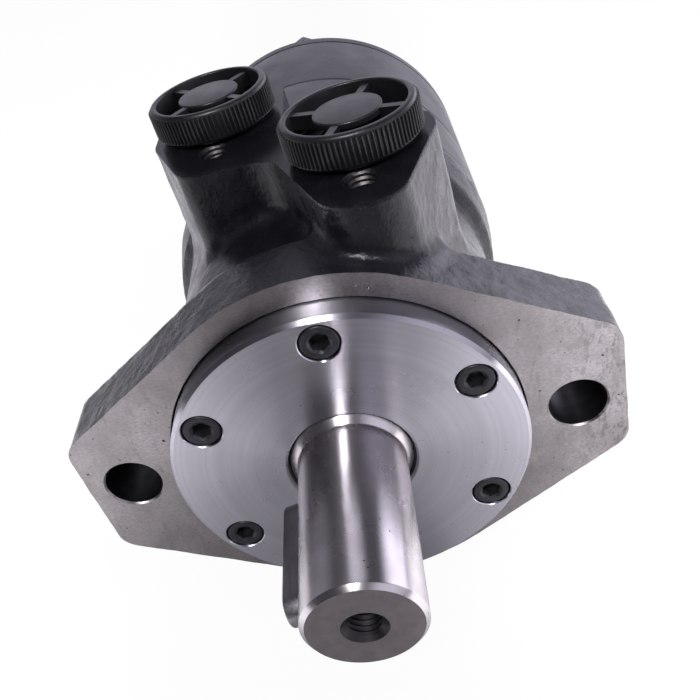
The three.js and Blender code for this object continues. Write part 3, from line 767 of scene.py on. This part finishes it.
def surface_of(field, low, step):
    """Points and quads on the zero level of a field sampled on a grid (surface nets)."""
    inside = field < 0
    corners = [(i, j, k) for i in (0, 1) for j in (0, 1) for k in (0, 1)]
    size = np.array(field.shape) - 1
    count = sum(
        inside[i:size[0] + i, j:size[1] + j, k:size[2] + k].astype(np.int8) for i, j, k in corners
    )
    cells = np.argwhere((count > 0) & (count < len(corners)))
    total = np.zeros((len(cells), 3))
    hits = np.zeros(len(cells))
    for corner in corners:
        for axis in range(3):
            if corner[axis]:
                continue
            start = cells + corner
            end = start.copy()
            end[:, axis] += 1
            a, b = field[tuple(start.T)], field[tuple(end.T)]
            crossed = (a < 0) != (b < 0)
            share = np.where(crossed, a / np.where(crossed, a - b, 1), 0)
            point = np.array(corner, float) + share[:, None] * np.eye(3)[axis]
            total += np.where(crossed[:, None], point, 0)
            hits += crossed
    points = low + step * (cells + total / hits[:, None])
    index = np.full(size, -1)
    index[tuple(cells.T)] = np.arange(len(cells))
    quads = []
    for axis in range(3):
        u, v = np.eye(3, dtype=int)[(axis + 1) % 3], np.eye(3, dtype=int)[(axis + 2) % 3]
        before = [slice(None)] * 3
        after = [slice(None)] * 3
        before[axis], after[axis] = slice(None, -1), slice(1, None)
        near, far = inside[tuple(before)], inside[tuple(after)]
        edges = np.argwhere(near != far)
        loop = np.stack([index[tuple((edges - a * u - b * v).T)]
                         for a, b in ((0, 0), (1, 0), (1, 1), (0, 1))], axis=1)
        flip = ~near[tuple(edges.T)]
        loop[flip] = loop[flip, ::-1]
        quads.append(loop)
    return points, np.concatenate(quads)


def rough_casting():
    room = np.array([2.0, 2.0, 1.0]) + 3 * CELL
    low = np.array([-FLANGE_HALF_W, -END_STOCK, -REAR_R]) - room
    high = np.array([FLANGE_HALF_W, HOUSING_BACK_Y + END_STOCK, PORT_FACE_Z]) + room
    axes = [np.arange(a, b, CELL) for a, b in zip(low, high)]
    points, quads = surface_of(casting_field(*axes), low, CELL)
    piece = face_outwards(piece_from("housing_casting", points.tolist(), quads.tolist()))
    swell(piece)
    return piece


def swell(piece):
    """Gentle unevenness of a sand casting, mostly inwards, and kept off the flat port face."""
    flat_margin = 0.6
    coarse_rate, coarse_share = 0.16, 1.3
    fine_rate, fine_share = 0.55, 0.8
    inwards = 1.2
    normals = [v.normal.copy() for v in piece.data.vertices]
    for vertex, normal in zip(piece.data.vertices, normals):
        if vertex.co.z > (PORT_FACE_Z - flat_margin) * MM:
            continue
        coarse = coarse_share * noise.noise(vertex.co / MM * coarse_rate)
        fine = fine_share * noise.noise(vertex.co / MM * fine_rate)
        vertex.co += normal * CAST_SWELL * MM * (coarse + fine - inwards)


def threaded_tool(name, depth, mouth):
    """Cutter along Y for a tapped hole that opens at y = 0 and runs to y = depth."""
    flank, root = 0.45 * THREAD_PITCH, 0.6 * THREAD_PITCH
    drill_point = 1.8
    cone_y = -0.05
    mouth_r = M8_MAJOR_R + mouth
    corners = [(0, -PAST, 0), (mouth_r, -PAST, 0), (mouth_r, cone_y, 0)]
    for turn in range(int((depth - mouth) / THREAD_PITCH)):
        y = mouth + turn * THREAD_PITCH
        corners += [(M8_MAJOR_R, y, 0), (M8_MINOR_R, y + flank, 0), (M8_MINOR_R, y + root, 0)]
    corners += [(M8_MINOR_R, depth, 0), (0, depth + drill_point, 0)]
    return lathe(name, corners, COARSE)


def countersink(radius):
    """Cutter along Y that breaks the edge of a hole of this radius opening at y = 0."""
    edge, over = 0.4, 0.2
    return lathe("countersink", [
        (0, -PAST, 0),
        (radius + edge + PAST, -PAST, 0),
        (radius - over, edge + over, 0),
        (0, edge + over, 0),
    ], MEDIUM)


def housing_cut(tool, material):
    return cut_surface(tool, HOUSING_MATERIALS, material)


def port_tools():
    """Cutters for the port face, and for each port and the small tapped hole in front of it."""
    down = -math.pi / 2
    plane = plane_cutter("port_plane", PORT_FACE_Z, PORT_FACE_Z + SLAB_T, axis="Z")
    tools = [housing_cut(plane, PORT_PAINT)]
    for x, y in PORTS.values():
        port = round_cutter("port_tool", PORT_R, -PAST, PORT_DEPTH, MEDIUM)
        tools.append(housing_cut(moved(port, x, y, PORT_FACE_Z, tip=down), HOLE_IRON_PAINTED_SHADE))
        tapped = threaded_tool("manifold_tool", MANIFOLD_DEPTH, mouth=0.1)
        moved(tapped, x, y - MANIFOLD_REACH, PORT_FACE_Z, tip=down)
        tools.append(housing_cut(tapped, TAPPED_IRON))
    return tools


def front_tools():
    """Cutters for the two end faces, the stepped bore and the bolt holes."""
    edge = 0.2
    far_end = HOUSING_BACK_Y + PAST
    past_fillet = FLANGE_T + 6
    bore = lathe("bore_tool", [
        (0, -PAST, 0),
        (PILOT_RECESS_R + edge, -PAST, 0),
        (PILOT_RECESS_R + edge, 0, 0),
        (PILOT_RECESS_R, edge, 0),
        (PILOT_RECESS_R, PILOT_RECESS_Y, 0),
        (CHAMBER_R, PILOT_RECESS_Y, 0),
        (CHAMBER_R, CHAMBER_Y, 0),
        (BORE_R, CHAMBER_Y, 0),
        (BORE_R, far_end, 0),
        (0, far_end, 0),
    ])
    tools = [
        housing_cut(plane_cutter("front_plane", -SLAB_T, 0), MILLED_IRON),
        housing_cut(plane_cutter("back_plane", HOUSING_BACK_Y, HOUSING_BACK_Y + SLAB_T), MILLED_IRON),
        housing_cut(bore, HOLE_IRON_PAINTED_SHADE),
    ]
    for x in (-BOLT_SPACING / 2, BOLT_SPACING / 2):
        hole = round_cutter("bolt_tool", BOLT_HOLE_R, -PAST, past_fillet, MEDIUM)
        tools.append(housing_cut(moved(hole, x), HOLE_IRON_PAINTED_SHADE))
        tools.append(housing_cut(moved(countersink(BOLT_HOLE_R), x), MILLED_IRON))
    return tools


def housing():
    """Casting with the ports cut square to it, then turned a little to the machined front."""
    piece = with_materials(rough_casting(), *HOUSING_MATERIALS)
    carve(piece, *port_tools())
    moved(piece, turn=-CAST_TURN)
    carve(piece, *front_tools())
    soften(piece, 40)
    stands_for(piece, "motor_body", "housing")


# -------- front end

def counterbore():
    """Cutter along Y for one screw: a head seat with a broken edge, and a clearance hole."""
    rim = 0.2
    return lathe("counterbore", [
        (0, COVER_FRONT_Y - PAST, 0),
        (COUNTERBORE_R + rim, COVER_FRONT_Y - PAST, 0),
        (COUNTERBORE_R + rim, COVER_FRONT_Y, 0),
        (COUNTERBORE_R, COVER_FRONT_Y + rim, 0),
        (COUNTERBORE_R, COUNTERBORE_Y, 0),
        (SCREW_CLEAR_R, COUNTERBORE_Y, 0),
        (SCREW_CLEAR_R, COVER_BACK_Y + PAST, 0),
        (0, COVER_BACK_Y + PAST, 0),
    ], COARSE)


def front_cover():
    edge, lip = 0.9, 0.5
    cover = lathe("front_cover_disc", [
        (COVER_BORE_R + lip, COVER_FRONT_Y, 0),
        (PILOT_R - edge, COVER_FRONT_Y, 0),
        (PILOT_R, COVER_FRONT_Y + edge, 0.3),
        (PILOT_R, COVER_BACK_Y, 0),
        (COVER_BORE_R, COVER_BACK_Y, 0),
        (COVER_BORE_R, COVER_FRONT_Y + lip, 0.2),
    ])
    places = [centre_of(f"cover_screw_{k}") for k in COVER_SCREWS]
    carve(cover, *[moved(counterbore(), place.x, 0, place.z) for place in places])
    soften(with_materials(cover, TURNED_STEEL))
    stands_for(cover, "motor_body", "front_cover")


def hexagon(across_flats, phase=0.0):
    radius = across_flats / math.sqrt(3)
    return [(radius * math.cos(a), radius * math.sin(a)) for a in spread(6, phase)]


def lead_in():
    """Cutter for the dished mouth of a screw's hexagon socket."""
    mouth_r, floor_r, depth = 2.75, 2.1, 0.45
    cone_y = -0.05
    return lathe("lead_in", [
        (0, -PAST, 0),
        (mouth_r, -PAST, 0),
        (mouth_r, cone_y, 0),
        (floor_r, depth, 0),
        (0, depth, 0),
    ], COARSE)


def cover_screws():
    """Socket-head screws, each stopped at its own angle."""
    head_r, head_h, shank_r = 4.25, 5.0, 2.5
    socket_flats, socket_depth = 4.0, 3.0
    for k in COVER_SCREWS:
        node = f"cover_screw_{k}"
        place = centre_of(node)
        front = low_of(node).y
        length = high_of(node).y - front
        screw = lathe(node + "_body", [
            (0, 0, 0),
            (head_r, 0, 0.5),
            (head_r, head_h, 0.2),
            (shank_r, head_h, 0.2),
            (shank_r, length, 0.4),
            (0, length, 0),
        ], COARSE)
        turn = 0.7 * k
        carve(screw, prism("socket", hexagon(socket_flats, turn), -PAST, socket_depth), lead_in())
        moved(screw, place.x, front, place.z)
        soften(with_materials(screw, BLACK_OXIDE))
        stands_for(screw, "motor_body", node)


# -------- shaft

def key_outline(gap):
    """Round-ended key seen from above its seat: along Y, half a width either side."""
    front = low_of("shaft_key").y
    back = high_of("shaft_key").y
    half = KEY_WIDTH / 2
    radius = half + gap
    steps = 16
    ends = []
    for middle, start in ((back - half, 0.0), (front + half, math.pi)):
        for step in range(steps + 1):
            angle = start + math.pi * step / steps
            ends.append((radius * math.cos(angle), middle + radius * math.sin(angle)))
    return ends


def turned_to_key(piece):
    """From standing on the XY plane to standing on the shaft at the key's angle."""
    outward = Matrix.Rotation(math.pi / 2, 4, "Y")
    piece.data.transform(Matrix.Rotation(-KEY_ANGLE, 4, "Y") @ outward)
    return piece


def output_shaft():
    front = low_of("output_shaft").y
    back = high_of("output_shaft").y
    step_low, step_high = JOURNAL_STEP_YS
    mouth_depth, floor_taper = 3.0, 2.0
    shaft = lathe("output_shaft_steel", [
        (0, front, 0),
        (SHAFT_R - SHAFT_CHAMFER, front, 0.15),
        (SHAFT_R, front + SHAFT_CHAMFER, 0.3),
        (SHAFT_R, step_low, 0.6),
        (JOURNAL_R, step_high, 0.5),
        (JOURNAL_R, CHAMBER_Y, 0),
        (SPOOL_R, CHAMBER_Y, 0.4),
        (SPOOL_R, back, 0.3),
        (SPOOL_MOUTH_R, back, 0),
        (SPOOL_BORE_R, back - mouth_depth, 0),
        (SPOOL_BORE_R, SPOOL_FLOOR_Y + floor_taper, 0),
        (SPOOL_FLOOR_R, SPOOL_FLOOR_Y, 0),
        (0, SPOOL_FLOOR_Y, 0),
    ])
    with_materials(shaft, *SHAFT_MATERIALS)
    end_face_depth = 0.02
    for face in shaft.data.polygons:
        if face.center.y < (front + end_face_depth) * MM:
            face.material_index = SHAFT_MATERIALS.index(FACED_STEEL)
    centre_hole = moved(threaded_tool("centre_hole", CENTRE_HOLE_DEPTH, mouth=0.8), y=front)
    side_gap, floor_gap = 0.08, 0.1
    keyway = prism("keyway", key_outline(side_gap), KEY_SEAT_R - floor_gap, SHAFT_R + PAST, axis="Z")
    carve(shaft, cut_surface(centre_hole, SHAFT_MATERIALS, HOLE_IRON_PAINTED_SHADE), turned_to_key(keyway))
    soften(shaft)
    stands_for(shaft, "output", "output_shaft")


def shaft_key():
    rounding = 0.35
    key = prism("shaft_key_bar", key_outline(0.0), KEY_SEAT_R, KEY_SEAT_R + KEY_HEIGHT, axis="Z")
    edge = key.modifiers.new("edge", "BEVEL")
    edge.width = rounding * MM
    edge.segments = 3
    edge.limit_method = "ANGLE"
    edge.angle_limit = math.radians(50)
    settle(key)
    turned_to_key(key)
    soften(with_materials(key, DRAWN_STEEL), 50)
    stands_for(key, "output", "shaft_key")


# -------- rear stack

def ring_piece(name, node, bore):
    """Painted ring with broken edges, as long as its CAD node."""
    low, high = low_of(node).y, high_of(node).y
    ring = lathe(name, [
        (bore, low, 0),
        (RING_R - RING_EDGE, low, 0),
        (RING_R, low + RING_EDGE, 0.25),
        (RING_R, high - RING_EDGE, 0.25),
        (RING_R - RING_EDGE, high, 0),
        (bore, high, 0),
    ])
    soften(with_materials(ring, STEEL_PAINT))
    stands_for(ring, "motor_body", node)


def end_cover():
    low, high = low_of("end_cover").y, high_of("end_cover").y
    recess_slope = 1.0
    cover = lathe("end_cover_plate", [
        (0, low, 0),
        (RING_R - RING_EDGE, low, 0),
        (RING_R, low + RING_EDGE, 0.25),
        (RING_R, END_TAPER_Y, 1.2),
        (END_TAPER_R, high, 1.0),
        (END_RECESS_R + recess_slope, high, 0.4),
        (END_RECESS_R, high - END_RECESS, 0.4),
        (0, high - END_RECESS, 0),
    ])
    plug = centre_of("drain_plug")
    hole = round_cutter("plug_tool", PLUG_BORE_R, low - PAST, high + PAST)
    carve(cover, moved(hole, plug.x, 0, plug.z))
    soften(with_materials(cover, STEEL_PAINT))
    stands_for(cover, "motor_body", "end_cover")


def bolt_head(name, turn, low, high):
    """Hexagon head along Y, its outer corners turned off to a cone."""
    corner_r = BOLT_HEAD_FLATS / math.sqrt(3)
    cone_r = BOLT_HEAD_FLATS / 2 - 0.3
    cone_h = 2.4
    cone = lathe("cone", [
        (0, low - PAST, 0),
        (corner_r + PAST, low - PAST, 0),
        (corner_r + PAST, high - cone_h, 0),
        (cone_r, high, 0),
        (0, high, 0),
    ], COARSE)
    return combine(prism(name, hexagon(BOLT_HEAD_FLATS, turn), low, high), "INTERSECT", [cone])


def end_bolts():
    """Hexagon bolts with a washer face under the head, each stopped at its own angle."""
    washer_face, gap, overlap = 0.4, 0.3, 0.2
    face_r = BOLT_HEAD_FLATS / 2 - 0.2
    seat = high_of("end_cover").y + gap
    for k in END_BOLTS:
        node = f"end_bolt_{k}"
        place, low, high = centre_of(node), low_of(node).y, high_of(node).y
        bolt = bolt_head(node + "_body", 0.5 * k, seat + washer_face, high)
        shank = lathe("shank", [
            (0, low, 0),
            (BOLT_R, low, 0.5),
            (BOLT_R, seat, 0),
            (face_r, seat, 0),
            (face_r, seat + washer_face + overlap, 0),
            (0, seat + washer_face + overlap, 0),
        ], COARSE)
        weld(bolt, shank)
        moved(bolt, place.x, 0, place.z)
        soften(with_materials(bolt, BLACK_OXIDE))
        stands_for(bolt, "motor_body", node)


def drain_plug():
    low, high = low_of("drain_plug").y, high_of("drain_plug").y
    gap = 0.1
    seat = high_of("drain_washer").y + gap
    plug = lathe("drain_plug_body", [
        (0, low, 0),
        (PLUG_R, low, 0.4),
        (PLUG_R, seat, 0),
        (PLUG_HEAD_R, seat, 0.3),
        (PLUG_HEAD_R, high, 0.8),
        (0, high, 0),
    ], COARSE)
    socket_flats, socket_depth = 5.0, 3.5
    carve(plug, prism("socket", hexagon(socket_flats), high - socket_depth, high + PAST))
    soften(with_materials(plug, GROUND_STEEL))
    stands_for(plug, "motor_body", "drain_plug")


def drain_washer():
    low, high = low_of("drain_washer").y, high_of("drain_washer").y
    washer = lathe("drain_washer_ring", [
        (PLUG_BORE_R, low, 0.2),
        (WASHER_R, low, 0.4),
        (WASHER_R, high, 0.4),
        (PLUG_BORE_R, high, 0.2),
    ], COARSE)
    soften(with_materials(washer, COPPER))
    stands_for(washer, "motor_body", "drain_washer")


# -------- port caps

def knurl_outline(radius, teeth, depth):
    """Rounded teeth all round a disc."""
    per_tooth = 6
    steepness = 1.4
    points = []
    for k, angle in enumerate(spread(teeth * per_tooth)):
        wave = max(-1, min(1, steepness * math.cos(math.tau * k / per_tooth)))
        reach = radius - depth * (1 - wave) / 2
        points.append((reach * math.cos(angle), reach * math.sin(angle)))
    return points


def cap_body(name):
    """Rim, floor and hollow stem in one turning, drawn with y = 0 on the port face."""
    rim_r = CAP_R - 0.5
    recess_r, floor_y, floor_t = 13.6, 2.4, 1.2
    stem_r, stem_bore, stem_foot = 9.9, 8.4, -8.5
    return lathe(name, [
        (0, stem_foot, 0),
        (stem_r, stem_foot, 0.5),
        (stem_r, CAP_LOW, 0),
        (rim_r - 0.6, CAP_LOW, 0),
        (rim_r, CAP_LOW + 0.7, 0.3),
        (rim_r, CAP_TOP, 1.0),
        (recess_r, CAP_TOP, 0.4),
        (recess_r - 0.2, floor_y, 0.8),
        (stem_bore, floor_y, 0.4),
        (stem_bore, stem_foot + floor_t, 0),
        (0, stem_foot + floor_t, 0),
    ])


def cap_hub():
    hub_r, hub_t, post_r, post_foot = 7.9, 1.6, 4.0, -8.0
    hub_top = CAP_TOP - 0.6
    return lathe("hub", [
        (0, post_foot, 0),
        (post_r, post_foot, 0),
        (post_r, hub_top - hub_t, 0.6),
        (hub_r, hub_top - hub_t, 0.2),
        (hub_r, hub_top, 0.45),
        (0, hub_top, 0),
    ], MEDIUM)


def cap_knurl():
    """Toothed ring round the rim, between its two smooth lips."""
    low_lip, top_lip, ring_bore = 1.1, 1.0, 14.2
    high = CAP_TOP - top_lip
    knurl = prism("knurl", knurl_outline(CAP_R, CAP_TEETH, CAP_TOOTH_DEPTH), CAP_LOW + low_lip, high)
    return carve(knurl, round_cutter("hollow", ring_bore, 0, high + PAST, MEDIUM))


def cap_spoke(angle):
    """Bar right across the recess, so two of them make the four spokes."""
    reach, half_width, rounding = 14.0, 0.9, 0.3
    low, high = CAP_TOP - 4.2, CAP_TOP - 0.9
    bar = [(x, y, rounding) for x, y in ((-reach, low), (reach, low), (reach, high), (-reach, high))]
    return moved(prism("spoke", rounded(bar, 3), -half_width, half_width, axis="Z"), turn=angle)


def port_cap(node):
    x, y = PORTS[node]
    angle = SPOKE_ANGLES[node]
    cap = cap_body(node + "_moulding")
    weld(cap, cap_hub(), cap_knurl(), cap_spoke(angle), cap_spoke(angle + math.pi / 2))
    moved(cap, x, y, PORT_FACE_Z, tip=math.pi / 2)
    moved(cap, turn=-CAST_TURN)
    soften(with_materials(cap, PLASTIC), 40)
    stands_for(cap, "motor_body", node)


def inside_nodes():
    """CAD nodes inside the motor keep their shape and get the material listed for them."""
    rubber = ["dust_seal", "shaft_seal", "cover_o_ring"]
    rubber += ["plate_front_o_ring", "plate_rear_o_ring", "cover_rear_o_ring"]
    steel = ["thrust_race_front", "thrust_needle_cage", "thrust_race_rear"]
    steel += ["rotor", "spacer", "cardan_shaft"] + [f"roller_{k}" for k in ROLLERS]
    for names, material in ((rubber, RUBBER), (steel, GROUND_STEEL)):
        for name in names:
            with_materials(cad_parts[name], material)


# -------- studio

def studio_world():
    """Soft panels far off, which light the motor and show in it; the camera sees plain white."""
    world = bpy.data.worlds.new("studio")
    bpy.context.scene.world = world
    world.use_nodes = True
    world.node_tree.nodes.clear()
    mix = Nodes(world.node_tree)
    direction = mix.node("ShaderNodeTexCoord").outputs["Generated"]
    level = AMBIENT
    for toward, start, full, strength in STUDIO_PANELS:
        dot = mix.node("ShaderNodeVectorMath", operation="DOT_PRODUCT")
        mix.feed(dot.inputs[0], direction)
        mix.feed(dot.inputs[1], Vector(toward).normalized())
        cosine = dot.outputs["Value"]
        panel = mix.range(cosine, start, full, 0.0, strength, interpolation_type="SMOOTHSTEP")
        level = mix.compute("ADD", panel, level)
    lit = mix.node("ShaderNodeBackground")
    mix.feed(lit.inputs["Color"], STUDIO_TINT)
    mix.feed(lit.inputs["Strength"], level)
    white = mix.node("ShaderNodeBackground")
    mix.feed(white.inputs["Color"], (1.0, 1.0, 1.0))
    shown = mix.whitened(lit.outputs["Background"], white.outputs["Background"], 1.0)
    mix.feed(mix.node("ShaderNodeOutputWorld").inputs["Surface"], shown)


def floor_paint():
    """Whitened where the camera sees it. Reflections see painted shadow on it under the motor and
    painted shade in front of the motor.
    """
    middle_x, dark_half, pale_half = -12 * MM, 5 * MM, 110 * MM
    front_y, back_y = -300 * MM, -100 * MM
    # Floor colour as painted shadow under the motor, and its plain colour beside it
    under, beside = 0.15, 0.85
    # Floor colour as painted shade in front of the motor, and its plain colour behind it
    in_front, behind = 0.1, 1.0
    seen_white = 0.96
    material = bpy.data.materials.new("floor_white_painted_shadow")
    material.use_nodes = True
    mix = Nodes(material.node_tree)
    shader = mix.tree.nodes["Principled BSDF"]
    mix.feed(shader.inputs["Roughness"], 0.9)
    where = mix.node("ShaderNodeTexCoord").outputs["Object"]
    aside = mix.compute("ABSOLUTE", mix.compute("SUBTRACT", mix.part(where, "X"), middle_x))
    smooth = {"interpolation_type": "SMOOTHSTEP"}
    # Painted shadow: the floor's colour darkens towards the line under the motor
    across = mix.range(aside, dark_half, pale_half, under, beside, **smooth)
    # Painted shade: the floor's colour darkens in front of the motor
    along = mix.range(mix.part(where, "Y"), front_y, back_y, in_front, behind, **smooth)
    mix.feed(shader.inputs["Base Color"], mix.compute("MULTIPLY", across, along))
    white = mix.node("ShaderNodeEmission")
    shown = mix.whitened(shader.outputs["BSDF"], white.outputs["Emission"], seen_white)
    mix.feed(mix.tree.nodes["Material Output"].inputs["Surface"], shown)
    return material


def floor():
    half = 3000.0
    level = cad_box[0].z / MM
    square = [(-half, -half, level), (half, -half, level), (half, half, level), (-half, half, level)]
    with_materials(piece_from("floor", square, [(0, 1, 2, 3)]), floor_paint())


def softbox(name, place, aim, size, power, in_reflections):
    light = bpy.data.lights.new(name, "AREA")
    light.size = size * MM
    light.energy = power
    light.color = LAMP_TINT
    lamp = bpy.data.objects.new(name, light)
    bpy.context.scene.collection.objects.link(lamp)
    lamp.location = Vector(place) * MM
    lamp.rotation_euler = (Vector(aim) - Vector(place)).to_track_quat("-Z", "Y").to_euler()
    lamp.visible_glossy = in_reflections


def camera():
    data = bpy.data.cameras.new("camera")
    data.lens = CAMERA_LENS
    data.sensor_width = 36.0
    data.clip_start = 0.01
    item = bpy.data.objects.new("camera", data)
    bpy.context.scene.collection.objects.link(item)
    turn = Euler([math.radians(angle) for angle in CAMERA_TURN])
    item.matrix_world = Matrix.LocRotScale(Vector(CAMERA_PLACE) * MM, turn, None)
    bpy.context.scene.camera = item


camera()
studio_world()
floor()
for lamp_settings in LAMPS:
    softbox(*lamp_settings)
bpy.context.scene.view_settings.view_transform = "Standard"

housing()
front_cover()
cover_screws()
output_shaft()
shaft_key()
ring_piece("channel_plate_ring", "channel_plate", PLATE_BORE_R)
ring_piece("gear_ring_ring", "gear_ring", RING_BORE_R)
end_cover()
end_bolts()
drain_plug()
drain_washer()
for cap_node in PORTS:
    port_cap(cap_node)
inside_nodes()
